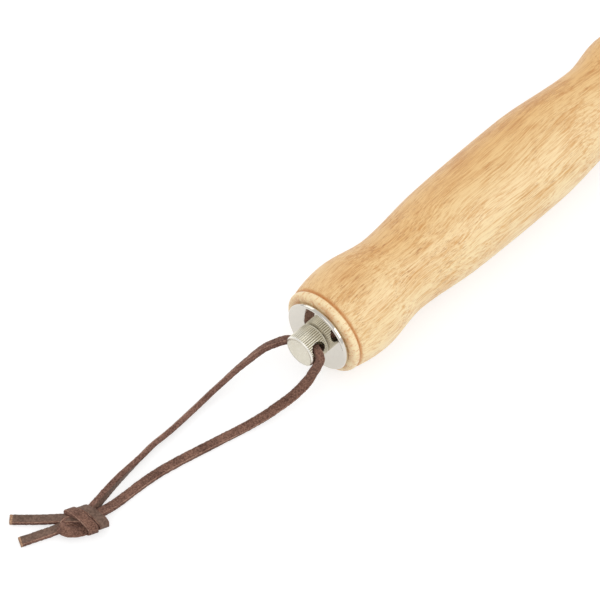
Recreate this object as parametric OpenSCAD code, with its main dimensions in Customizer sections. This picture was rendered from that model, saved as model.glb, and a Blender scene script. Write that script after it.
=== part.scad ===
// Garden dibber: a turned wooden handle with a tapered steel spike at one end, and at the
// butt a polished disc held by a knurled hanging screw with a leather lace through its head.
// The axis of the tool lies along +X, butt at -X and point at +X, and the tool lies on z = 0.

/* [Handle] */
// Length of the turned body, from the disc seat to the front shoulder
handle_l = 156; // [150:1:200]
// Radius of the flat seat that the disc covers
seat_r = 12.8; // [11:0.1:13.5]
// Radius of the round bead beside the disc
bead_r = 1.6; // [1:0.1:2.4]
// Depth of the scorched groove behind the bead
groove_d = 0.7; // [0.3:0.1:1]
// Distance from the seat to the crest of the butt swell
swell_at = 14.5; // [11:0.5:18]
// Radius at the butt swell
swell_r = 16; // [15.2:0.1:20]
// Distance from the seat to the rear waist
waist_at = 32; // [26:1:40]
// Radius at the rear waist
waist_r = 13.8; // [11:0.1:15]
// Distance from the seat to the shoulder of the grip
shoulder_at = 56; // [48:1:66]
// Radius at the shoulder of the grip
shoulder_r = 15.7; // [14:0.1:16.2]
// Distance from the seat to the fullest part of the grip
grip_at = 95; // [80:1:105]
// Radius at the fullest part of the grip, which also sets how high the axis lies
grip_r = 16.3; // [16:0.1:20]
// Distance from the front shoulder back to the neck
neck_back = 26; // [22:1:36]
// Radius at the neck
neck_r = 13.9; // [12:0.1:15]
// Distance from the front shoulder back to the crest of the front swell
front_back = 10; // [7:1:14]
// Radius of the front shoulder, where the collar sits
front_shoulder_r = 13.6; // [13.3:0.1:15]

/* [Disc and hanging screw] */
// Radius of the polished disc
disc_r = 12; // [9:0.1:12.8]
// Thickness of the polished disc
disc_t = 1.8; // [1.2:0.1:3]
// Radius of the knurled head, over its ridges
head_r = 5.45; // [4.8:0.05:8]
// Height of the knurled head
head_h = 7.4; // [7:0.1:12]
// Number of ridges round the head
knurl_count = 48; // [24:2:72]
// Depth of the knurling
knurl_d = 0.22; // [0.1:0.01:0.4]
// Chamfer round the head's face and foot
head_chamfer = 0.45; // [0.2:0.05:0.8]
// Radius of the cross-hole that the lace passes through
cross_hole_r = 2.4; // [1.9:0.1:2.8]
// Height of the cross-hole above the head's foot
cross_hole_h = 3.9; // [3.6:0.1:4.6]
// Upward tilt of the cross-hole's near mouth, in degrees
cross_hole_tilt = 26; // [0:1:60]
// Outer radius of the screw's thread
thread_r = 3; // [2.5:0.5:3.5]
// Pitch of the screw's thread
thread_pitch = 1; // [0.8:0.1:1.25]
// Length of thread held in the insert at rest
thread_l = 12; // [8:1:18]

/* [Threaded insert] */
// Outer radius of the brass insert
insert_r = 4.5; // [4.2:0.1:6]
// Length of the brass insert
insert_l = 14; // [12:1:20]
// Depth of the insert's mouth below the disc seat
insert_sunk = 1; // [0.5:0.5:3]

/* [Collar, spike and rivet] */
// Width of the steel collar
collar_w = 4; // [3:0.5:8]
// Outer radius of the steel collar
collar_r = 13.2; // [12.5:0.1:14.5]
// Length of the spike, from the collar to the tip
spike_l = 140; // [120:1:180]
// Length of the spike's parallel socket
socket_l = 24; // [18:1:30]
// Outer radius of the spike's socket
socket_r = 11.6; // [10.5:0.1:12]
// Wall of the spike
spike_wall = 1.2; // [1:0.1:2]
// Length of the solid point welded into the spike
point_l = 22; // [16:1:24]
// Radius of the spike where the solid point begins
point_r = 4.6; // [4.2:0.1:6]
// Radius of the rounded tip
tip_r = 2; // [1:0.1:2.4]
// Length of the point's spigot inside the spike
spigot_l = 7; // [5:1:10]
// Spacing of the seed-depth rings, counted from the tip
ring_step = 25; // [20:5:30]
// Number of seed-depth rings
ring_count = 4; // [1:1:4]
// Depth of a seed-depth ring
ring_d = 0.35; // [0.2:0.05:0.5]
// Length of the handle's tenon inside the collar and the socket
tenon_l = 26; // [20:1:40]
// Radius of the rivet through the socket and the tenon
rivet_r = 2; // [1.5:0.1:2.5]
// Distance from the collar's front to the rivet
rivet_at = 12; // [8:1:14]

/* [Leather lace] */
// Width of the flat lace
lace_w = 3.2; // [2.8:0.1:3.6]
// Thickness of the flat lace
lace_t = 1.8; // [1.4:0.1:2.2]
// Radius of the overhand knot
knot_r = 3.7; // [3:0.1:4]
// Length of the upper tail
upper_tail_l = 19; // [12:1:30]
// Length of the lower tail
lower_tail_l = 14; // [8:1:30]

/* [Hidden] */
$fn = 96;
// Gap between pieces that move against each other
slip = 0.05;
// Gap between a tenon and its socket
glue_gap = 0.05;
// Overlap that keeps cuts clean
eps = 0.5;

axis_z = grip_r;
tip_at = handle_l + collar_w + spike_l;
disc_face = -(slip + disc_t);
head_foot = disc_face - slip;
head_face = head_foot - head_h;
butt_x = (-head_face - tip_at) / 2;
hole_at = head_foot - cross_hole_h;
groove_at = 2 * bead_r - 0.4;
groove_w = 1.2;
collar_at = handle_l;
spike_at = handle_l + collar_w;
taper_at = spike_at + socket_l;
point_at = tip_at - point_l;
bore_r = socket_r - spike_wall;
rivet_s = spike_at + rivet_at;
shank_end = insert_sunk + thread_l;
STEPS = 12;

// Points of the strand on the near side, from the cross-hole to the knot, beside the seat
near_route = [[-6, -3.9, 18], [-6.4, -4.9, 18.4], [-6.8, -6, 18.3], [-7.3, -6.9, 17.1],
  [-7.9, -6.7, 15.2], [-8.5, -6.4, 13.3], [-9.3, -5.8, 11.2], [-10.6, -5.6, 9.3],
  [-12.6, -5.2, 7.5], [-15, -4.7, 6], [-17.6, -4.1, 4.7], [-21.3, -3.1, 3.4],
  [-25.6, -2, 2.2], [-30.5, -0.6, 1.3], [-35.6, 0.8, 0.9], [-40, 1.9, 0.9],
  [-44, 2.9, 0.9], [-50, 4.4, 0.9], [-56, 5.8, 0.9], [-62, 7, 0.9], [-68, 7.7, 0.9],
  [-74, 8, 0.9], [-79, 8.2, 1.1], [-84, 8.7, 1.8], [-88, 9.3, 2.6]];
// Points of the strand on the far side
far_route = [[-6, 4, 14.3], [-6, 5.4, 13.7], [-6.2, 6.7, 13.2], [-6.9, 7.9, 12.9],
  [-8.5, 9.3, 12.1], [-11.3, 11.4, 10.6], [-14, 12.8, 8.9], [-16.9, 13.7, 7.3],
  [-21.2, 15, 4.9], [-26.2, 15.6, 3.2], [-31.3, 15.8, 2.3], [-36.1, 15.7, 1.8],
  [-41.6, 15.4, 1.7], [-47, 15.1, 1.7], [-52, 15, 1.7], [-57, 15.1, 1.7],
  [-62, 14.6, 1.7], [-68, 14.1, 1.7], [-74, 13.5, 1.7], [-79, 12.6, 1.9],
  [-84, 11.6, 2.2], [-88, 11, 2.6]];
// Middle of the knot's two ends
knot_a = [-87.5, 8.3];
knot_b = [-94, 11.1];
// Where each tail leaves the knot, and its heading
upper_tail_from = [-91.5, 12.7];
upper_tail_turn = 134;
lower_tail_from = [-94.5, 13.3];
lower_tail_turn = 160;

// Smooth curve from station p to station q, each [place, radius], with end slopes
function blend_r(p, q, slope_p, slope_q, t) =
    let (w = q[0] - p[0])
    p[1] * (1 - 3 * t * t + 2 * t * t * t) + q[1] * (3 * t * t - 2 * t * t * t)
    + w * slope_p * (t * t * t - 2 * t * t + t) + w * slope_q * (t * t * t - t * t);

// Outline points [radius, place] of that curve, without its last point
function blend_pts(p, q, slope_p = 0, slope_q = 0) =
    [for (i = [0 : STEPS - 1])
        [blend_r(p, q, slope_p, slope_q, i / STEPS), p[0] + (q[0] - p[0]) * i / STEPS]];

// Points of an arc about [radius, place], the angle counted from the outward direction
function arc_pts(c, r, from, to, steps) =
    [for (i = [0 : steps])
        let (a = from + (to - from) * i / steps)
        [c[0] + r * cos(a), c[1] + r * sin(a)]];

// Puts a piece that is turned about Z onto the tool's axis, with its place along +X
module on_axis() {
    translate([butt_x, 0, axis_z]) rotate([0, 90, 0]) children();
}

module rivet_axis(r, l) {
    translate([0, 0, rivet_s]) rotate([90, 0, 0]) cylinder(h = l, r = r, center = true);
}

// Direction of a route at its point i
function unit(v) = v / norm(v);
function heading(route, i) =
    unit(route[min(i + 1, len(route) - 1)] - route[max(i - 1, 0)]);

// Eight corners of the lace's flat section, square to the heading d and rolled about it
function section(roll) =
    let (w = lace_w / 2, t = lace_t / 2, c = 0.4)
    [for (q = [[w, c - t], [w, t - c], [w - c, t], [c - w, t],
        [-w, t - c], [-w, c - t], [c - w, -t], [w - c, -t]])
        [q[0] * cos(roll) - q[1] * sin(roll), q[0] * sin(roll) + q[1] * cos(roll)]];
function ring_pts(p, d, roll) =
    let (side = unit(cross([0, 0, 1], d)), up = cross(d, side))
    [for (q = section(roll)) p + q[0] * side + q[1] * up];
function spline(a, b, c, d, t) =
    0.5 * (2 * b + (c - a) * t + (2 * a - 5 * b + 4 * c - d) * t * t
    + (3 * b - a - 3 * c + d) * t * t * t);
function smooth_route(pts, sub) =
    let (n = len(pts))
    concat([for (i = [0 : n - 2], j = [0 : sub - 1])
        spline(pts[max(i - 1, 0)], pts[i], pts[i + 1], pts[min(i + 2, n - 1)], j / sub)],
        [pts[n - 1]]);

// The lace leaves the hole turned by mouth_roll, and has its own roll after the given points
module strand(pts, roll, mouth_roll, held, twisted) {
    route = smooth_route(pts, 2);
    n = len(route);
    rings = [for (i = [0 : n - 1])
        let (turned = max(0, min(1, (i / 2 - held) / (twisted - held))))
        each ring_pts(route[i], heading(route, i), mouth_roll + (roll - mouth_roll) * turned)];
    sides = [for (i = [0 : n - 2], k = [0 : 7])
        [8 * i + k, 8 * i + (k + 1) % 8, 8 * (i + 1) + (k + 1) % 8, 8 * (i + 1) + k]];
    back = [for (k = [7 : -1 : 0]) k];
    front = [for (k = [0 : 7]) 8 * (n - 1) + k];
    color("saddlebrown") translate([butt_x, 0, 0])
        polyhedron(points = rings, faces = concat([back], sides, [front]));
}

module tail(from, turn, l) {
    color("saddlebrown") translate([butt_x + from[0], from[1], 0]) rotate([0, 0, turn])
        translate([0, -lace_w / 2, 0.05]) cube([l, lace_w, lace_t]);
}

module handle() {
    bead_c = [seat_r, bead_r];
    rim_r = seat_r + bead_r;
    body_r = rim_r + 0.25;
    swell = [swell_at, swell_r];
    waist = [waist_at, waist_r];
    shoulder = [shoulder_at, shoulder_r];
    grip = [grip_at, grip_r];
    neck = [handle_l - neck_back, neck_r];
    front = [handle_l - front_back, grip_r];
    shoulder_slope = 0.04;
    body_slope = 0.2;
    front_slope = -0.5;
    outline = concat(
        [[0, 0]],
        arc_pts(bead_c, bead_r, -90, 40, 10),
        [[rim_r - groove_d, groove_at]],
        blend_pts([groove_at + groove_w / 2, body_r], swell, body_slope, 0),
        blend_pts(swell, waist),
        blend_pts(waist, shoulder, 0, shoulder_slope),
        blend_pts(shoulder, grip, shoulder_slope, 0),
        blend_pts(grip, neck),
        blend_pts(neck, front),
        blend_pts(front, [handle_l, front_shoulder_r], 0, front_slope),
        [[front_shoulder_r, handle_l], [bore_r - glue_gap, handle_l],
            [bore_r - glue_gap, handle_l + tenon_l - 1], [bore_r - 1, handle_l + tenon_l],
            [0, handle_l + tenon_l]]);
    color("burlywood") on_axis() difference() {
        rotate_extrude() polygon(outline);
        translate([0, 0, -eps]) cylinder(h = eps + insert_sunk + insert_l, r = insert_r);
        translate([0, 0, -eps]) cylinder(h = eps + insert_sunk + insert_l + 3, r = thread_r + 0.3);
        rivet_axis(rivet_r, 4 * socket_r);
    }
}

module threaded_insert() {
    groove = 0.5;
    land = insert_l / 5;
    color("goldenrod") on_axis() translate([0, 0, insert_sunk]) difference() {
        cylinder(h = insert_l, r = insert_r);
        translate([0, 0, -eps]) cylinder(h = insert_l + 2 * eps, r = thread_r + slip);
        for (i = [1 : 4]) translate([0, 0, i * land - groove / 2]) difference() {
            cylinder(h = groove, r = insert_r + 1);
            cylinder(h = groove, r = insert_r - groove);
        }
    }
}

module end_disc() {
    edge = disc_t / 2;
    color("gainsboro") on_axis() rotate_extrude() polygon(concat(
        [[thread_r + 2 * slip, -slip], [thread_r + 2 * slip, disc_face]],
        arc_pts([disc_r - edge, disc_face + edge], edge, -90, 90, 12)));
}

module knurled_blank() {
    ridge = 360 / knurl_count;
    polygon([for (i = [0 : knurl_count - 1]) each [
        [head_r * cos(i * ridge), head_r * sin(i * ridge)],
        [(head_r - knurl_d) * cos((i + 0.5) * ridge), (head_r - knurl_d) * sin((i + 0.5) * ridge)]]]);
}

module hanging_screw() {
    root_r = thread_r - 0.6 * thread_pitch;
    turns = floor(thread_l / thread_pitch) - 1;
    neck_end = insert_sunk;
    land_r = head_r - knurl_d - 0.05;
    color("silver") on_axis() difference() {
        union() {
            translate([0, 0, head_face + head_chamfer])
                linear_extrude(head_h - 2 * head_chamfer) knurled_blank();
            rotate_extrude() polygon(concat(
                [[0, head_face], [land_r - head_chamfer, head_face],
                    [land_r, head_face + head_chamfer], [land_r, head_foot - head_chamfer],
                    [land_r - head_chamfer / 2, head_foot], [thread_r, head_foot],
                    [thread_r, neck_end]],
                [for (i = [0 : turns - 1]) each [
                    [root_r, neck_end + (i + 0.5) * thread_pitch],
                    [thread_r, neck_end + (i + 1) * thread_pitch]]],
                [[thread_r, shank_end - 0.6], [thread_r - 0.6, shank_end], [0, shank_end]]));
        }
        translate([0, 0, hole_at]) rotate([0, 0, -cross_hole_tilt]) rotate([90, 0, 0])
            cylinder(h = 4 * head_r, r = cross_hole_r, center = true);
    }
}

module collar() {
    round_r = collar_w / 2;
    color("silver") on_axis() rotate_extrude() polygon(concat(
        [[bore_r, collar_at]],
        arc_pts([collar_r - round_r, collar_at + round_r], round_r, -90, 90, 12),
        [[bore_r, collar_at + collar_w]]));
}

// Radius of the spike's outside at a place on its taper
function spike_r(s) = blend_r([taper_at, socket_r], [point_at, point_r], -0.01, -0.12,
    (s - taper_at) / (point_at - taper_at));

module spike() {
    taper = [for (i = [0 : 2 * STEPS])
        let (s = taper_at + (point_at - taper_at) * i / (2 * STEPS)) [spike_r(s), s]];
    inside = [for (i = [2 * STEPS : -1 : 0])
        let (s = taper_at + (point_at - taper_at) * i / (2 * STEPS)) [spike_r(s) - spike_wall, s]];
    color("silver") on_axis() difference() {
        rotate_extrude() polygon(concat(
            [[bore_r, spike_at], [socket_r - 0.4, spike_at], [socket_r, spike_at + 0.4]],
            taper, inside));
        for (i = [1 : ring_count]) {
            s = tip_at - i * ring_step;
            rotate_extrude() polygon([[spike_r(s) - ring_d, s], [spike_r(s) + 1, s - 1.2],
                [spike_r(s) + 1, s + 1.2]]);
        }
        rivet_axis(rivet_r, 4 * socket_r);
    }
}

module spike_point() {
    nose_turn = 75;
    nose = [tip_at - tip_r, tip_r];
    color("silver") on_axis() rotate_extrude() polygon(concat(
        [[0, point_at - spigot_l], [point_r - spike_wall - 0.3, point_at - spigot_l],
            [point_r - spike_wall, point_at]],
        blend_pts([point_at, point_r], [nose[0] + tip_r * cos(nose_turn), tip_r * sin(nose_turn)],
            -0.12, -0.27),
        arc_pts([0, nose[0]], tip_r, 90 - nose_turn, 90, 8)));
}

module spike_rivet() {
    color("silver") on_axis() intersection() {
        rivet_axis(rivet_r, 4 * socket_r);
        translate([0, 0, spike_at]) cylinder(h = socket_l, r = socket_r);
    }
}

module lace_through() {
    color("saddlebrown") translate([butt_x + hole_at, 0, axis_z]) rotate([-cross_hole_tilt, 0, 0])
        cube([lace_w, 2 * head_r - 1, lace_t], center = true);
}

module lace_near() { strand(near_route, 0, 90, 6, 12); }

module lace_far() { strand(far_route, 45, 0, 3, 9); }

module lace_knot() {
    color("saddlebrown") translate([butt_x, 0, knot_r]) hull() {
        translate([knot_a[0], knot_a[1], 0]) sphere(r = knot_r, $fn = 24);
        translate([knot_b[0], knot_b[1], 0]) sphere(r = knot_r, $fn = 24);
    }
}

module lace_tail_upper() { tail(upper_tail_from, upper_tail_turn, upper_tail_l); }

module lace_tail_lower() { tail(lower_tail_from, lower_tail_turn, lower_tail_l); }

handle();
threaded_insert();
end_disc();
hanging_screw();
collar();
spike();
spike_point();
spike_rivet();
lace_through();
lace_near();
lace_far();
lace_knot();
lace_tail_upper();
lace_tail_lower();
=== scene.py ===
"""Garden dibber lying on a pale floor: turned wooden handle, polished disc, knurled hanging
screw, leather lace and steel spike. Lengths are millimetres until they reach a mesh."""

import bpy
import math
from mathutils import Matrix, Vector, noise


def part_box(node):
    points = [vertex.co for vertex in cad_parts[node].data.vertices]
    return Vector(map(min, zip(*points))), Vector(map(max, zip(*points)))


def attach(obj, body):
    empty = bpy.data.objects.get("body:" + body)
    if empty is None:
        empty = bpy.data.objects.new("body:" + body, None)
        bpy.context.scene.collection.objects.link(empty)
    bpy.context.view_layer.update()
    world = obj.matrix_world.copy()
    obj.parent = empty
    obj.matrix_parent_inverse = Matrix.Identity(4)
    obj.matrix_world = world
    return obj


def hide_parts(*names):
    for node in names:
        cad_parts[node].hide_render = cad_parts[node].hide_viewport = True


MM = 0.001
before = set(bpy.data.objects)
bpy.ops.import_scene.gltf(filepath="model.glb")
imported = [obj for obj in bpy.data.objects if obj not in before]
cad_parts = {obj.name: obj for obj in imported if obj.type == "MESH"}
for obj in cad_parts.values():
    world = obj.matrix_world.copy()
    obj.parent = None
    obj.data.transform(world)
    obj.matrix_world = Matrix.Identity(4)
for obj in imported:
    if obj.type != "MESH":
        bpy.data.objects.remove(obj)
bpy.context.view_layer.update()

# ---------------------------------------------------------------- places from the frame
# SLIP is the gap between the disc and the handle, and between the screw's head and the disc
SLIP = 0.05
disc_low, disc_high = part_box("end_disc")
AXIS_Z = (disc_low.z + disc_high.z) / 2 / MM
SEAT_X = disc_high.x / MM + SLIP


def place(s, y, z):
    """A point given by its distance from the disc seat, in metres in the row frame."""
    return Vector(((SEAT_X + s) * MM, y * MM, z * MM))


# ---------------------------------------------------------------- camera
CAMERA_AIM = (5.16, 13.51, 16.44)
CAMERA_DISTANCE = 795.9
CAMERA_AZIMUTH = math.radians(-46.115)
CAMERA_ELEVATION = math.radians(52.16)
CAMERA_LENS = 156
CAMERA_SENSOR = 36
CAMERA_NEAR_END = 0.01


def make_camera():
    aim = place(*CAMERA_AIM)
    flat = math.cos(CAMERA_ELEVATION)
    look = Vector((-math.sin(CAMERA_AZIMUTH) * flat, math.cos(CAMERA_AZIMUTH) * flat,
                   -math.sin(CAMERA_ELEVATION)))
    data = bpy.data.cameras.new("camera")
    data.lens = CAMERA_LENS
    data.sensor_width = CAMERA_SENSOR
    data.clip_start = CAMERA_NEAR_END
    camera = bpy.data.objects.new("camera", data)
    camera.location = aim - look * CAMERA_DISTANCE * MM
    camera.rotation_euler = look.to_track_quat("-Z", "Y").to_euler()
    bpy.context.scene.collection.objects.link(camera)
    bpy.context.scene.camera = camera


make_camera()

# ---------------------------------------------------------------- mesh helpers
SEGMENTS = 192


def mesh_piece(name, verts, faces, materials=(), indices=None):
    mesh = bpy.data.meshes.new(name)
    mesh.from_pydata(verts, [], faces)
    for material in materials:
        mesh.materials.append(material)
    if indices:
        mesh.polygons.foreach_set("material_index", indices)
    mesh.update()
    mesh.shade_smooth()
    piece = bpy.data.objects.new(name, mesh)
    bpy.context.scene.collection.objects.link(piece)
    return piece


def lathe(name, outline, segments, material, ripple=None):
    """Turns an outline of (place, radius) pairs, in mm, about the tool's axis. A radius of 0
    makes a pole. ripple gives the radius at a place, radius and turn."""
    verts, faces, rings = [], [], []
    for s, r in outline:
        count = 1 if r == 0 else segments
        rings.append([len(verts) + k % count for k in range(segments)])
        for k in range(count):
            turn = 2 * math.pi * k / segments
            out = ripple(s, r, turn) if ripple else r
            verts.append(place(s, out * math.cos(turn), AXIS_Z + out * math.sin(turn)))
    for low, high in zip(rings, rings[1:]):
        for k in range(segments):
            after = (k + 1) % segments
            corners = (low[k], low[after], high[after], high[k])
            faces.append(tuple(dict.fromkeys(corners)))
    return mesh_piece(name, verts, faces, [material])


def sharpen(piece, degrees):
    """Keeps edges steeper than an angle sharp, with the rest smooth."""
    piece.data.shade_smooth()
    piece.data.set_sharp_from_angle(angle=math.radians(degrees))


def arc(centre, r, start, end, steps):
    """Points (place, radius) of an arc; the angle counts from outward towards the point."""
    turns = [math.radians(start + (end - start) * k / steps) for k in range(steps + 1)]
    return [(centre[0] + r * math.sin(t), centre[1] + r * math.cos(t)) for t in turns]


def paint(node, material):
    """Gives a CAD node that stays its material."""
    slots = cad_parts[node].data.materials
    slots.clear()
    slots.append(material)


# ---------------------------------------------------------------- node helpers
def srgb(r, g, b):
    def line(c):
        c /= 255
        return c / 12.92 if c <= 0.04045 else ((c + 0.055) / 1.055) ** 2.4
    return (line(r), line(g), line(b), 1)


class Graph:
    """Builds a material's nodes; an input may be a number, a colour or another socket."""

    def __init__(self, name, **shader):
        self.material = bpy.data.materials.new(name)
        self.material.use_nodes = True
        self.tree = self.material.node_tree
        self.shader = self.tree.nodes["Principled BSDF"]
        for key, value in shader.items():
            self.put(self.shader.inputs[key.replace("_", " ")], value)
        self.spot = self.node("ShaderNodeTexCoord", {}, "Object")

    def put(self, socket, value):
        if isinstance(value, bpy.types.NodeSocket):
            self.tree.links.new(value, socket)
        else:
            socket.default_value = value

    def node(self, kind, inputs, output=0, **settings):
        node = self.tree.nodes.new(kind)
        for key, value in settings.items():
            setattr(node, key, value)
        for key, value in inputs.items():
            self.put(node.inputs[key], value)
        return node.outputs[output]

    def xyz_mm(self):
        parts = self.node("ShaderNodeSeparateXYZ", {0: self.spot}).node
        return [self.maths("DIVIDE", parts.outputs[k], MM) for k in range(3)]

    def maths(self, operation, a, b=0.0, c=0.0, clamp=False):
        return self.node("ShaderNodeMath", {0: a, 1: b, 2: c}, operation=operation,
                         use_clamp=clamp)

    def scaled(self, x, y, z, shift=(0, 0, 0)):
        """Object coordinates in mm, times a frequency for each axis."""
        return self.node("ShaderNodeMapping", {"Vector": self.spot, "Location": shift,
                         "Scale": (x / MM, y / MM, z / MM)})

    def noise(self, vector, detail, rough=0.5):
        """Noise whose size is set by its vector alone."""
        return self.node("ShaderNodeTexNoise", {"Vector": vector, "Scale": 1.0,
                         "Detail": detail, "Roughness": rough})

    def span(self, value, low, high, out_low=0.0, out_high=1.0):
        return self.node("ShaderNodeMapRange", {"Value": value, "From Min": low,
                         "From Max": high, "To Min": out_low, "To Max": out_high})

    def mix(self, factor, a, b):
        return self.node("ShaderNodeMix", {0: factor, 6: a, 7: b}, 2, data_type="RGBA")

    def bump(self, height, distance, strength):
        self.put(self.shader.inputs["Normal"], self.node("ShaderNodeBump", {
            "Height": height, "Distance": distance * MM, "Strength": strength}))

    def base(self, colour):
        self.put(self.shader.inputs["Base Color"], colour)
        return self.material


# ---------------------------------------------------------------- sizes of disc and screw
DISC_R, DISC_T, DISC_EDGE = 12, 1.8, 0.55
HEAD_R, HEAD_H, HEAD_CHAMFER = 5.45, 7.4, 0.4
KNURLS, KNURL_D, KNURL_FADE = 48, 0.22, 0.25
HOLE_R, HOLE_UP, HOLE_TILT = 2.4, 3.9, math.radians(26)
THREAD_R, THREAD_D, THREAD_PITCH, THREAD_END = 3, 0.55, 1, 12
HEAD_FOOT = -DISC_T - SLIP
HEAD_FACE = HEAD_FOOT - HEAD_H
HOLE_S = HEAD_FOOT - HOLE_UP

# ---------------------------------------------------------------- materials
GROOVE_AT = 2.8
PITH_Y, PITH_Z, RING_R = 40, 24, 44


def ring_space(g, x, y, z):
    """Distance from the pith, which ran beside the handle, and place along the rings."""
    off_y = g.maths("SUBTRACT", PITH_Y, y)
    off_z = g.maths("SUBTRACT", z, PITH_Z)
    wander = g.noise(g.scaled(0.02, 0.05, 0.05), detail=2)
    pith = g.maths("SQRT", g.maths("MULTIPLY_ADD", off_y, off_y,
                                   g.maths("MULTIPLY", off_z, off_z)))
    pith = g.maths("MULTIPLY_ADD", wander, 9.0, pith)
    pith = g.maths("MULTIPLY_ADD", x, 0.03, pith)
    along = g.maths("MULTIPLY", g.maths("ARCTAN2", off_z, off_y), RING_R)
    return pith, along


def wood_figure(g, x, s, pith, along):
    """Colour of the wood with its streaks and pores, and the streaks and pores themselves."""
    def lamellae(fx, fp, fa, detail, rough):
        spot = g.node("ShaderNodeCombineXYZ", {0: g.maths("MULTIPLY", x, fx),
                      1: g.maths("MULTIPLY", pith, fp), 2: g.maths("MULTIPLY", along, fa)})
        return g.noise(spot, detail=detail, rough=rough)

    broad = g.span(lamellae(0.035, 0.42, 0.16, 3, 0.55), 0.4, 0.64)
    streak = g.span(lamellae(0.055, 1.9, 1.4, 4, 0.65), 0.48, 0.62)
    fine = g.span(lamellae(0.11, 3.4, 2.8, 3, 0.7), 0.45, 0.6)
    patch = g.noise(g.scaled(0.07, 0.16, 0.16, (3, 0, 0)), detail=3, rough=0.6)
    tone = g.maths("ADD", g.span(pith, 38.0, 61.0), g.span(s, 20.0, 110.0, 0.2, 0.0), clamp=True)
    light = g.mix(tone, srgb(234, 187, 118), srgb(253, 229, 180))
    dark = g.mix(tone, srgb(200, 136, 66), srgb(226, 174, 106))
    amount = g.maths("MULTIPLY", streak, 0.48)
    amount = g.maths("MULTIPLY_ADD", broad, 0.3, amount)
    amount = g.maths("MULTIPLY_ADD", fine, 0.5, amount)
    amount = g.maths("ADD", amount, g.span(patch, 0.35, 0.68, -0.34, 0.12), clamp=True)
    colour = g.mix(amount, light, dark)
    flecks = g.noise(g.scaled(0.3, 3.4, 3.4, (0, 7, 0)), detail=2, rough=0.6)
    pores = g.span(flecks, 0.57, 0.67)
    pores = g.maths("MULTIPLY", pores, g.span(patch, 0.4, 0.6, 0.25, 1.0))
    deep = g.span(s, 30.0, 80.0, 0.8, 0.55)
    colour = g.mix(g.maths("MULTIPLY", pores, deep), colour, srgb(182, 118, 58))
    return colour, fine, pores


def butt_marks(g, s, colour):
    """The butt is paler, its bead most, the bead's pallor being partly its own paler wood and
    partly painted highlight along its crest. The groove is scorched, and the bead's foot by the
    disc is darker orange-brown.
    """
    colour = g.mix(g.span(s, 5.0, 18.0, 0.1, 0.0), colour, srgb(252, 224, 174))
    # painted highlight: the bead is mixed towards near white, partly for its own paler wood and
    # partly for the highlight along its crest
    bead = g.span(s, GROOVE_AT - 0.3, GROOVE_AT - 0.7)
    colour = g.mix(g.maths("MULTIPLY", bead, 0.75), colour, srgb(255, 236, 192))
    ticks = g.span(g.noise(g.scaled(0.35, 1.5, 1.5, (0, 2, 0)), detail=3, rough=0.65), 0.52, 0.66)
    ticks = g.maths("MULTIPLY", g.maths("MULTIPLY", ticks, bead), 0.7)
    colour = g.mix(ticks, colour, srgb(224, 158, 84))
    wobble = g.noise(g.scaled(0.12, 0.3, 0.3, (0, 0, 5)), detail=4, rough=0.6)
    band = g.maths("ABSOLUTE", g.maths("SUBTRACT", s, GROOVE_AT + 0.1))
    band = g.maths("DIVIDE", g.maths("SUBTRACT", band, 0.1), g.span(wobble, 0.35, 0.65, 0.2, 0.8))
    scorch = g.maths("SUBTRACT", 1.0, band, clamp=True)
    scorch = g.maths("MULTIPLY", scorch, g.span(wobble, 0.3, 0.6, 0.9, 0.6))
    foot = g.span(s, 0.1, 0.8, 0.6, 0.0)
    foot = g.maths("MULTIPLY", foot, g.span(wobble, 0.4, 0.6, 0.1, 1.0))
    return g.mix(g.maths("MAXIMUM", scorch, foot), colour, srgb(206, 134, 68))


def make_wood():
    g = Graph("handle_wood", Coat_Weight=0.12, Coat_Roughness=0.35)
    x, y, z = g.xyz_mm()
    s = g.maths("SUBTRACT", x, SEAT_X)
    pith, along = ring_space(g, x, y, z)
    colour, fine, pores = wood_figure(g, x, s, pith, along)
    height = g.maths("MULTIPLY_ADD", fine, 0.4, g.maths("MULTIPLY", pores, -1.0))
    g.bump(height, 0.05, 0.6)
    g.put(g.shader.inputs["Roughness"], g.span(fine, 0.0, 1.0, 0.38, 0.5))
    return g.base(butt_marks(g, s, colour))


def make_metal(name, colour, rough, scale=(0.6, 0.6, 0.6), spread=0.06, bump=0.0):
    """Metal with faint cloudy wear in its gloss."""
    g = Graph(name, Metallic=1.0)
    cloud = g.noise(g.scaled(*scale), detail=4, rough=0.6)
    g.put(g.shader.inputs["Roughness"], g.span(cloud, 0.3, 0.7, rough - spread / 2,
                                               rough + spread / 2))
    if bump:
        g.bump(cloud, bump, 0.5)
    shade = tuple(c * 0.93 for c in colour[:3]) + (1,)
    return g.base(g.mix(cloud, colour, shade))


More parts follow.
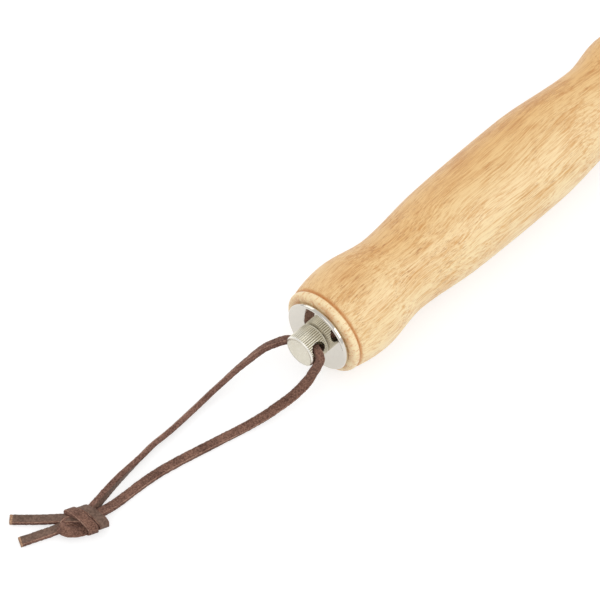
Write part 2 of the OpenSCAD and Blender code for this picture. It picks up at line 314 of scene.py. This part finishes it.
def make_screw_nickel():
    """Satin nickel with painted shade between the knurls and a painted highlight along the face's
    chamfer, with faint turned rings on the face.
    """
    g = Graph("screw_nickel", Metallic=1.0)
    x, y, z = g.xyz_mm()
    off_z = g.maths("SUBTRACT", z, AXIS_Z)
    out = g.maths("SQRT", g.maths("MULTIPLY_ADD", y, y, g.maths("MULTIPLY", off_z, off_z)))
    cloud = g.noise(g.scaled(1, 1, 1), detail=4, rough=0.6)
    low, high = HEAD_FACE + HEAD_CHAMFER, HEAD_FOOT - HEAD_CHAMFER
    along = g.maths("ABSOLUTE", g.maths("SUBTRACT", x, SEAT_X + (low + high) / 2))
    # painted shade: the valleys between the knurls are darkened towards olive
    knurl_shade = g.maths("MULTIPLY", g.span(out, HEAD_R - KNURL_D, HEAD_R - 0.03, 1.0, 0.0),
                     g.span(along, (high - low) / 2, (high - low) / 2 - 0.1))
    knurl_shade = g.maths("MULTIPLY", knurl_shade, g.span(out, HEAD_R - 0.4, HEAD_R - 0.3))
    colour = g.mix(cloud, srgb(226, 221, 206), srgb(214, 208, 190))
    colour = g.mix(g.maths("MULTIPLY", knurl_shade, 0.75), colour, srgb(146, 138, 108))
    # painted highlight: a pale ring along the chamfer at the head's face edge
    chamfer_highlight = g.maths("SUBTRACT", x, SEAT_X + HEAD_FACE + HEAD_CHAMFER)
    chamfer_highlight = g.maths("MULTIPLY", g.span(chamfer_highlight, 0.05, 0.15, 1.0, 0.0),
                   g.span(out, HEAD_R - HEAD_CHAMFER, HEAD_R - HEAD_CHAMFER + 0.08))
    colour = g.mix(chamfer_highlight, colour, srgb(240, 236, 226))
    rings = g.maths("SINE", g.maths("MULTIPLY", out, 14.0))
    g.bump(rings, 0.006, 0.5)
    g.put(g.shader.inputs["Roughness"], g.span(cloud, 0.3, 0.7, 0.26, 0.34))
    return g.base(colour)


def make_leather(name, pale, deep, rough, grain_scale, depth, sheen=0.0):
    g = Graph(name, Roughness=rough, Sheen_Weight=sheen, Specular_IOR_Level=0.25)
    nap = g.noise(g.scaled(grain_scale, grain_scale, grain_scale), detail=4, rough=0.7)
    cloud = g.noise(g.scaled(0.16, 0.16, 0.16), detail=2)
    tone = g.maths("ADD", g.maths("MULTIPLY", g.span(nap, 0.38, 0.62), 0.8),
                   g.span(cloud, 0.3, 0.7, -0.1, 0.3), clamp=True)
    g.bump(nap, depth, 0.9)
    return g.base(g.mix(tone, pale, deep))


wood = make_wood()
disc_nickel = make_metal("disc_nickel", srgb(216, 211, 201), 0.06, spread=0.04)
screw_nickel = make_screw_nickel()
polished_steel = make_metal("polished_steel", srgb(206, 206, 208), 0.12)
satin_steel = make_metal("satin_steel", srgb(196, 196, 198), 0.3, (0.2, 4, 4), 0.1, 0.01)
brass = make_metal("insert_brass", srgb(206, 172, 104), 0.3)
suede = make_leather("suede_side", srgb(154, 115, 97), srgb(80, 53, 44), 0.95, 2.0, 0.35, 0.1)
grain = make_leather("grain_side", srgb(130, 104, 89), srgb(88, 67, 56), 0.55, 1.3, 0.06)
cut = make_leather("cut_edge", srgb(154, 117, 102), srgb(86, 59, 50), 0.95, 2.0, 0.3)
cut_end = make_leather("cut_end", srgb(214, 174, 140), srgb(140, 104, 84), 0.95, 2.2, 0.3)
# painted highlight: a pale leather for a thin bright line along the lace's corners
edge_highlight = make_leather("edge_highlight", srgb(190, 154, 134), srgb(128, 92, 76), 0.8, 1.0, 0.1)
LEATHER = [suede, grain, cut, cut_end, edge_highlight]
SUEDE, GRAIN, CUT, CUT_END, EDGE_HIGHLIGHT = range(5)

# ---------------------------------------------------------------- handle
SEAT_R, BEAD_R, GROOVE_D, GROOVE_W = 12.8, 1.6, 0.7, 1.1
HANDLE_L, TENON_R, TENON_L, TENON_CHAMFER = 156, 10.35, 26, 1
BORE_R, BORE_L = 4.5, 15
# stations along the handle: distance from the disc seat, and radius
SWELL, WAIST, SHOULDER, GRIP = (14.5, 16), (32, 13.8), (56, 15.7), (95, 16.3)
NECK, FRONT, FRONT_END = (130, 13.9), (146, 16.3), (HANDLE_L, 13.6)


def blend(p, q, slope_p=0.0, slope_q=0.0, steps=24):
    """Smooth curve between two stations, without its last point."""
    w = q[0] - p[0]
    points = []
    for k in range(steps):
        t = k / steps
        points.append((p[0] + w * t, p[1] * (1 - 3 * t * t + 2 * t ** 3)
                       + q[1] * (3 * t * t - 2 * t ** 3)
                       + w * slope_p * (t ** 3 - 2 * t * t + t)
                       + w * slope_q * (t ** 3 - t * t)))
    return points


def soften(outline, passes):
    """Rounds an outline's sharp corners a little, its ends kept."""
    for _ in range(passes):
        inner = [((a[0] + 2 * b[0] + c[0]) / 4, (a[1] + 2 * b[1] + c[1]) / 4)
                 for a, b, c in zip(outline, outline[1:], outline[2:])]
        outline = [outline[0]] + inner + [outline[-1]]
    return outline


def make_handle():
    rim_r = SEAT_R + BEAD_R
    bead = arc((BEAD_R, SEAT_R), BEAD_R, -90, 40, 20)
    groove = [(GROOVE_AT - 0.1, rim_r - GROOVE_D + 0.05), (GROOVE_AT, rim_r - GROOVE_D),
              (GROOVE_AT + 0.1, rim_r - GROOVE_D + 0.08)]
    lip = [(GROOVE_AT + GROOVE_W / 2 - 0.15, rim_r + 0.05)]
    body = (blend((GROOVE_AT + GROOVE_W / 2, rim_r + 0.25), SWELL, 0.25, 0)
            + blend(SWELL, WAIST) + blend(WAIST, SHOULDER, 0, 0.04)
            + blend(SHOULDER, GRIP, 0.04, 0, 36) + blend(GRIP, NECK, steps=36)
            + blend(NECK, FRONT) + blend(FRONT, FRONT_END, 0, -0.5) + [FRONT_END])
    end = HANDLE_L + TENON_L
    front = [(HANDLE_L, TENON_R), (end - TENON_CHAMFER, TENON_R), (end, TENON_R - TENON_CHAMFER),
             (end, 0)]
    bore = [(BORE_L, 0), (BORE_L, BORE_R), (0.1, BORE_R)]
    seat = [(0, BORE_R + 0.1), (0, 8), (0, SEAT_R - 0.5)]
    outline = bore + seat + soften(bead + groove + lip + body, 1) + front
    handle = lathe("turned_handle", outline, SEGMENTS, wood)
    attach(handle, "tool")
    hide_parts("handle")


make_handle()


# ---------------------------------------------------------------- disc and hanging screw
def make_disc():
    outline = ([(-SLIP, THREAD_R + 0.1), (-DISC_T, THREAD_R + 0.1)]
               + [(-DISC_T, DISC_R - DISC_EDGE - 0.1)]
               + arc((-DISC_T + DISC_EDGE, DISC_R - DISC_EDGE), DISC_EDGE, -90, 0, 10)
               + arc((-SLIP - DISC_EDGE, DISC_R - DISC_EDGE), DISC_EDGE, 0, 90, 10)
               + [(-SLIP, THREAD_R + 0.1)])
    disc = lathe("polished_disc", outline, SEGMENTS, disc_nickel)
    sharpen(disc, 40)
    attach(disc, "disc")
    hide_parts("end_disc")


def knurl(s, r, turn):
    """Straight ridges along the head with narrow valleys between, fading at its chamfers."""
    inside = min(s - HEAD_FACE - HEAD_CHAMFER, HEAD_FOOT - HEAD_CHAMFER - s) / KNURL_FADE
    if inside < 0:
        return r
    wave = 0.5 - 0.5 * math.cos(turn * KNURLS)
    return r - KNURL_D * min(inside, 1) * wave ** 2


def thread(s, r, turn):
    """A right-hand thread along the shank."""
    depth = abs(2 * ((s / THREAD_PITCH - turn / (2 * math.pi)) % 1) - 1)
    fade = max(0.0, min(1.0, s - 1.2, (THREAD_END - s) * 2))
    return r - THREAD_D * fade * min(1, max(0, 1.15 * depth - 0.1))


def head_outline():
    start, end = HEAD_FACE + HEAD_CHAMFER, HEAD_FOOT - HEAD_CHAMFER
    face_r = HEAD_R - HEAD_CHAMFER
    turned = [(HEAD_FACE, face_r * k / 6) for k in range(7)]
    side = [(start + 0.02, HEAD_R - 0.04)]
    side += [(start + (end - start) * k / 28, HEAD_R) for k in range(1, 28)]
    return (turned + [(HEAD_FACE + 0.06, face_r + 0.08)] + side
            + [(end, HEAD_R - 0.04), (HEAD_FOOT, face_r), (HEAD_FOOT, THREAD_R + 0.3),
               (HEAD_FOOT, 0)])


def cut_cross_hole(head):
    """Cuts the lace's hole through the head, with a rounded edge at each mouth."""
    # stations along the hole: distance from its middle, and radius
    reach = [(7, 2.7), (5.6, 2.6), (5.25, 2.47), (4.8, HOLE_R), (0, HOLE_R)]
    stations = [(-a, r) for a, r in reach] + [(a, r) for a, r in reach[-2::-1]]
    count = 48
    verts = []
    for a, r in stations:
        for k in range(count):
            turn = 2 * math.pi * k / count
            y = -a * math.cos(HOLE_TILT) - r * math.sin(turn) * math.sin(HOLE_TILT)
            z = a * math.sin(HOLE_TILT) - r * math.sin(turn) * math.cos(HOLE_TILT)
            verts.append(place(HOLE_S + r * math.cos(turn), y, AXIS_Z + z))
    faces = [(i * count + k, (i + 1) * count + k, (i + 1) * count + (k + 1) % count,
              i * count + (k + 1) % count) for i in range(len(stations) - 1) for k in range(count)]
    faces.append(tuple(range(count)))
    faces.append(tuple((len(stations) - 1) * count + k for k in range(count))[::-1])
    cutter = mesh_piece("cutter", verts, faces)
    modifier = head.modifiers.new("cut", "BOOLEAN")
    modifier.object = cutter
    modifier.solver = "EXACT"
    bpy.context.view_layer.update()
    depsgraph = bpy.context.evaluated_depsgraph_get()
    mesh = bpy.data.meshes.new_from_object(head.evaluated_get(depsgraph))
    head.modifiers.clear()
    head.data = mesh
    bpy.data.objects.remove(cutter)


def make_screw():
    head = lathe("knurled_head", head_outline(), KNURLS * 8, screw_nickel, knurl)
    cut_cross_hole(head)
    sharpen(head, 38)
    steps = int(THREAD_END / THREAD_PITCH) * 12
    shank_outline = ([(HEAD_FOOT + 0.01, 0), (HEAD_FOOT + 0.01, THREAD_R)]
                     + [(THREAD_END * k / steps, THREAD_R) for k in range(steps + 1)]
                     + [(THREAD_END + 0.02, 0)])
    shank = lathe("screw_thread", shank_outline, 48, screw_nickel, thread)
    sharpen(shank, 50)
    for piece in (head, shank):
        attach(piece, "screw_and_lace")
    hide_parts("hanging_screw")


make_disc()
make_screw()
paint("threaded_insert", brass)
paint("spike_rivet", satin_steel)
for node in ("collar", "spike", "spike_point"):
    paint(node, polished_steel)

# ---------------------------------------------------------------- lace
NEAR_ROUTE = [(-6, -3.9, 18), (-6.4, -4.9, 18.4), (-6.8, -6, 18.3), (-7.3, -6.9, 17.1),
              (-7.9, -6.7, 15.2), (-8.5, -6.4, 13.3), (-9.3, -5.8, 11.2),
              (-10.6, -5.6, 9.3), (-12.6, -5.2, 7.5), (-15, -4.7, 6),
              (-17.6, -4.1, 4.7), (-21.3, -3.1, 3.4), (-25.6, -2, 2.2),
              (-30.5, -0.6, 1.3), (-35.6, 0.8, 0.9), (-40, 1.9, 0.9), (-44, 2.9, 0.9),
              (-50, 4.4, 0.9), (-56, 5.8, 0.9), (-62, 7, 0.9), (-68, 7.7, 0.9),
              (-74, 8, 0.9), (-79, 8.2, 1.1), (-84, 8.7, 1.8), (-88, 9.3, 2.6)]
FAR_ROUTE = [(-6, 4, 14.3), (-6, 5.4, 13.7), (-6.2, 6.7, 13.2), (-6.9, 7.9, 12.9),
             (-8.5, 9.3, 12.1), (-11.3, 11.4, 10.6), (-14, 12.8, 8.9),
             (-16.9, 13.7, 7.3), (-21.2, 15, 4.9), (-26.2, 15.6, 3.2),
             (-31.3, 15.8, 2.3), (-36.1, 15.7, 1.8), (-41.6, 15.4, 1.7),
             (-47, 15.1, 1.7), (-52, 15, 1.7), (-57, 15.1, 1.7), (-62, 14.6, 1.7),
             (-68, 14.1, 1.7), (-74, 13.5, 1.7), (-79, 12.6, 1.9), (-84, 11.6, 2.2),
             (-88, 11, 2.6)]
NEAR_FACES = {0: (0.1, 0.3, 0.95), 3: (-0.45, -0.8, 0.3), 4: (-0.75, -0.55, 0.35),
              6: (-0.8, -0.45, 0.4), 9: (-0.5, -0.45, 0.7), 12: (-0.1, -0.3, 1),
              16: (0, 0, 1), 21: (0, 0, 1), 24: (0, 0.3, 1)}
FAR_FACES = {0: (-0.1, 0.4, 0.9), 3: (-0.2, 0.5, 0.85), 6: (-0.15, 0.7, 0.7),
             9: (0, 0.86, 0.5), 16: (0, 0.88, 0.46), 18: (0, 1, 0), 20: (0, 1, -0.3),
             21: (0, 1, -0.3)}
THROUGH = [(-6, 4, 14.3), (-5.9, 0, 16.3), (-6, -3.9, 18)]
THROUGH_FACES = {0: (-0.1, 0.4, 0.9), 2: (0.1, 0.3, 0.95)}
UPPER_TAIL = [(-90.2, 9.2, 4), (-92.2, 12, 3.5), (-94.4, 15.4, 2.3),
              (-97.6, 19.4, 1.2), (-101, 23.1, 0.9), (-104.4, 26.7, 0.9)]
LOWER_TAIL = [(-92.5, 11.6, 2.4), (-95.3, 13, 1.9), (-98.3, 14.4, 1.2), (-101.5, 16, 0.9),
              (-104.7, 17.4, 0.9), (-107.7, 18.8, 0.9)]
FACE_UP = {0: (0, 0, 1)}
LACE_W = 3.2
LACE_T = 1.8
LACE_EDGE = 0.35
PINCH_END = 8
KNOT_AT = Vector((-90.8, 9.7, 3.4))
KNOT_ALONG = Vector((-0.92, 0.39, 0)).normalized()
KNOT_FRONT = Vector((-0.39, -0.92, 0)).normalized()
WRAP_START, WRAP_END, WRAP_POINTS, WRAP_TILT = -130, 250, 24, 2.2


def spline_at(points, where):
    """Catmull-Rom point at a fractional index."""
    last = len(points) - 1
    i = min(int(where), last - 1)
    t = where - i
    a, b, c, d = (Vector(points[max(0, min(last, i + k))]) for k in (-1, 0, 1, 2))
    return 0.5 * (2 * b + (c - a) * t + (2 * a - 5 * b + 4 * c - d) * t * t
                  + (3 * b - a - 3 * c + d) * t * t * t)


def sample(points, steps):
    return [spline_at(points, k / steps) for k in range((len(points) - 1) * steps + 1)]


def lace_section():
    """Outline of the lace's section as (across, through, material), suede side first."""
    w, t, r, cells = LACE_W / 2, LACE_T / 2, LACE_EDGE, 8
    half = [((w - r) * (1 - 2 * k / cells), t, SUEDE) for k in range(cells)]
    half.append((r - w, t, CUT))
    # the 30 degree cell of two corners takes the pale leather, a painted highlight line along the
    # lace's edge
    for degrees, kind in ((30, EDGE_HIGHLIGHT), (60, CUT), (90, CUT)):
        turn = math.radians(degrees)
        half.append((-w + r * (1 - math.sin(turn)), t - r * (1 - math.cos(turn)), kind))
    half.append((-w, 0, CUT))
    return half + [(-x, -z, GRAIN if kind == SUEDE else kind) for x, z, kind in half]


def face_at(faces_up, at):
    """The direction that faces_up gives at a fractional route index."""
    keys = sorted(faces_up)
    low = max((k for k in keys if k <= at), default=keys[0])
    high = min((k for k in keys if k >= at), default=keys[-1])
    t = 0 if high == low else (at - low) / (high - low)
    return Vector(faces_up[low]).lerp(Vector(faces_up[high]), t)


def strap_mesh(route, faces_up, steps, last_end=CUT, flip=False, pinch=0):
    """Vertices, faces and material numbers of a flat strap swept along a route, with steps
    rings to each route point. faces_up gives the suede side's direction at some route
    indices, and flip turns the grain side there instead. A last_end of CUT_END frays the
    strap's end. pinch is the share of its width that the strap loses at its start, where a
    hole squeezes it, and gets back by route index PINCH_END."""
    line = sample(route, steps)
    section = lace_section()
    verts, faces, indices = [], [], []
    n, m = len(line), len(section)
    for i, point in enumerate(line):
        heading = (line[min(i + 1, n - 1)] - line[max(i - 1, 0)]).normalized()
        at = i / steps
        hint = face_at(faces_up, at)
        up = (hint - heading * hint.dot(heading)).normalized()
        side = heading.cross(up)
        side *= 1 - pinch * max(0, 1 - at / PINCH_END)
        for x, z, _ in section:
            # cut leather is a little uneven in width and thickness
            seed = point + side * x * 2 + up * z * 3
            fuzz = 0.07 * noise.noise(seed * 1.4) + 0.05 * noise.noise(seed * 4.3)
            verts.append(place(*(point + side * x * (1 + fuzz) + up * (z * (1 + fuzz)))))
    for i in range(n - 1):
        for k in range(m):
            a, b = i * m + k, i * m + (k + 1) % m
            faces.append((a, a + m, b + m, b))
            kind = section[k][2]
            if flip and kind in (SUEDE, GRAIN):
                kind = SUEDE + GRAIN - kind
            indices.append(CUT_END if last_end == CUT_END and i >= n - 3 else kind)
    faces.append(tuple(range(m)))
    faces.append(tuple((n - 1) * m + k for k in range(m))[::-1])
    indices += [CUT, last_end]
    return verts, faces, indices


def join_meshes(parts):
    verts, faces, indices = [], [], []
    for part_verts, part_faces, part_indices in parts:
        faces += [tuple(k + len(verts) for k in face) for face in part_faces]
        verts += part_verts
        indices += part_indices
    return verts, faces, indices


def lace_piece(name, parts, node):
    verts, faces, indices = join_meshes(parts)
    piece = mesh_piece(name, verts, faces, LEATHER, indices)
    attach(piece, "screw_and_lace")
    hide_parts(node)
    return piece


def knot_point(along, front, up):
    return KNOT_AT + KNOT_ALONG * along + KNOT_FRONT * front + Vector((0, 0, up))


def knot_turn(along, front_r, up_r):
    """Route of one wrap round the knot, and the outward direction at each point."""
    route, faces_up = [], {}
    for k in range(WRAP_POINTS + 1):
        turn = math.radians(WRAP_START + (WRAP_END - WRAP_START) * k / WRAP_POINTS)
        c, s = math.cos(turn), math.sin(turn)
        route.append(knot_point(along - WRAP_TILT * c, front_r * c, up_r * s))
        faces_up[k] = KNOT_FRONT * c * up_r + Vector((0, 0, 1)) * s * front_r
    return route, faces_up


def knot_bight(points, out):
    """Route of a half loop of the knot; out gives its face's direction at each point."""
    faces_up = {k: KNOT_ALONG * a + KNOT_FRONT * f + Vector((0, 0, u))
                for k, (a, f, u) in enumerate(out)}
    return [knot_point(*p) for p in points], faces_up


near = lace_piece("near_strand", [strap_mesh(NEAR_ROUTE, NEAR_FACES, 12, pinch=0.3)], "lace_near")
far = lace_piece("far_strand", [strap_mesh(FAR_ROUTE, FAR_FACES, 12, pinch=0.1)], "lace_far")
through = lace_piece("through_strand", [strap_mesh(THROUGH, THROUGH_FACES, 6)],
                     "lace_through")
grain_wrap = strap_mesh(*knot_turn(-3.2, 3.7, 2.2), 4, flip=True)
suede_wrap = strap_mesh(*knot_turn(0.3, 4.3, 2.5), 4)
front_bight = strap_mesh(*knot_bight(
    [(-0.5, 2.6, -0.9), (1.5, 2.6, -0.8), (3.5, 2.3, -0.6), (5.2, 1.5, -0.5),
     (6.3, 0.2, -0.5), (6.3, -1.2, -0.6)],
    [(0, 1, 1), (0, 1, 1), (0.3, 1, 1), (0.7, 0.6, 1), (1, 0, 0.8), (1, -0.4, 0.8)]), 6)
back_bight = strap_mesh(*knot_bight(
    [(-1, -2.4, -0.6), (1.5, -2.8, -0.5), (3.6, -3, -0.7), (5, -2.8, -1), (6, -2.1, -1.2),
     (6.2, -1.2, -1.3)],
    [(0, -1, 1), (0, -1, 1), (0.2, -1, 1), (0.6, -0.8, 0.8), (1, -0.4, 0.6), (1, 0, 0.6)]),
    6, flip=True)
inner_near = strap_mesh([knot_point(-5, 1.2, -0.9), knot_point(0, 1, -0.7),
                         knot_point(4.5, 0.8, -0.9)], FACE_UP, 6)
inner_far = strap_mesh([knot_point(-5, -1.4, -0.8), knot_point(0, -1.6, -0.6),
                        knot_point(5.5, -1.8, -0.6)], FACE_UP, 6)
knot = lace_piece("overhand_knot", [grain_wrap, suede_wrap, front_bight, back_bight,
                                    inner_near, inner_far], "lace_knot")
upper_tail = lace_piece("upper_tail", [strap_mesh(UPPER_TAIL, FACE_UP, 8, CUT_END, True)],
                        "lace_tail_upper")
lower_tail = lace_piece("lower_tail", [strap_mesh(LOWER_TAIL, FACE_UP, 8, CUT_END, True)],
                        "lace_tail_lower")


# ---------------------------------------------------------------- floor and light
FLOOR_HALF = 3
FLOOR_GLOW = 0.66
FLOOR_SEEN, FLOOR_UNSEEN = (0.45, 0.45, 0.45, 1), (0.8, 0.8, 0.8, 1)
WORLD_STRENGTH = 0.8


def area_light(name, place_mm, aim_mm, size, watts):
    data = bpy.data.lights.new(name, "AREA")
    data.shape = "RECTANGLE"
    data.size, data.size_y = size
    data.energy = watts
    light = bpy.data.objects.new(name, data)
    light.location = Vector(place_mm) * MM
    aim = Vector(aim_mm) * MM - light.location
    light.rotation_euler = aim.to_track_quat("-Z", "Y").to_euler()
    bpy.context.scene.collection.objects.link(light)


def make_floor():
    """A white floor that still takes the object's shadow."""
    g = Graph("floor_white", Roughness=0.9)
    path = g.tree.nodes.new("ShaderNodeLightPath")
    seen = g.maths("MAXIMUM", path.outputs["Is Camera Ray"], path.outputs["Is Glossy Ray"])
    seen = g.maths("MAXIMUM", seen, path.outputs["Is Transmission Ray"])
    g.put(g.shader.inputs["Emission Color"], (1, 1, 1, 1))
    g.put(g.shader.inputs["Emission Strength"], g.maths("MULTIPLY", seen, FLOOR_GLOW))
    g.base(g.mix(seen, FLOOR_UNSEEN, FLOOR_SEEN))
    corners = [(-1, -1), (1, -1), (1, 1), (-1, 1)]
    floor = mesh_piece("floor", [(x * FLOOR_HALF, y * FLOOR_HALF, 0) for x, y in corners],
                       [(0, 1, 2, 3)], [g.material])


def make_world():
    world = bpy.data.worlds.new("world")
    bpy.context.scene.world = world
    world.use_nodes = True
    background = world.node_tree.nodes["Background"]
    background.inputs["Color"].default_value = (1, 1, 1, 1)
    background.inputs["Strength"].default_value = WORLD_STRENGTH


make_floor()
make_world()
area_light("key", (350, -700, 500), (0, 0, 0), (0.7, 0.5), 1.6)
area_light("fill", (-500, -200, 700), (-80, 0, 0), (0.6, 0.6), 0.8)
area_light("back", (0, 750, 450), (0, 0, 0), (0.7, 0.5), 0.9)
bpy.context.scene.view_settings.view_transform = "Standard"
